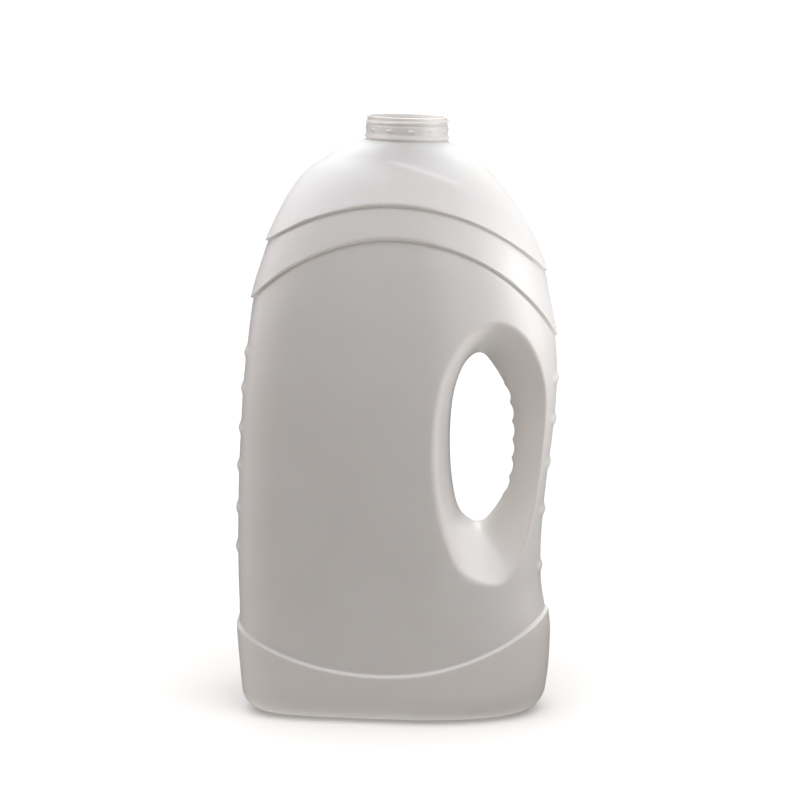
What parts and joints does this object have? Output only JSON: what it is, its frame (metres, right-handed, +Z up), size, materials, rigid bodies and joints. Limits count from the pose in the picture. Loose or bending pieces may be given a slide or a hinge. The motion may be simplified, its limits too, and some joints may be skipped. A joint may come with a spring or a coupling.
{
  "type": "detergent dispenser bottle",
  "caption": "Upright handled bottle for liquid detergent: a blow-moulded shell with a through-handle and a screw neck, and a recessed drip-back pouring fitment that lifts out of the neck.",
  "frame": {"origin": "on the surface that the bottle stands on, straight below the axis of the neck", "axes": "+Z up along the neck, +X towards the handle, -Y towards the front face"},
  "size_m": [0.177, 0.0914, 0.335],
  "materials": {
    "white_polyethylene": "satin blow-moulded white, faint mould texture",
    "natural_polyethylene": "satin injection-moulded off-white"
  },
  "bodies": {
    "bottle": {"bottle": "white_polyethylene"},
    "pour_spout": {"pour_spout": "natural_polyethylene"}
  },
  "joints": [
    {"name": "spout_pull", "type": "slide", "parent": "bottle", "child": "pour_spout", "axis": [0, 0, 1], "range_m": [0, 0.03]}
  ]
}
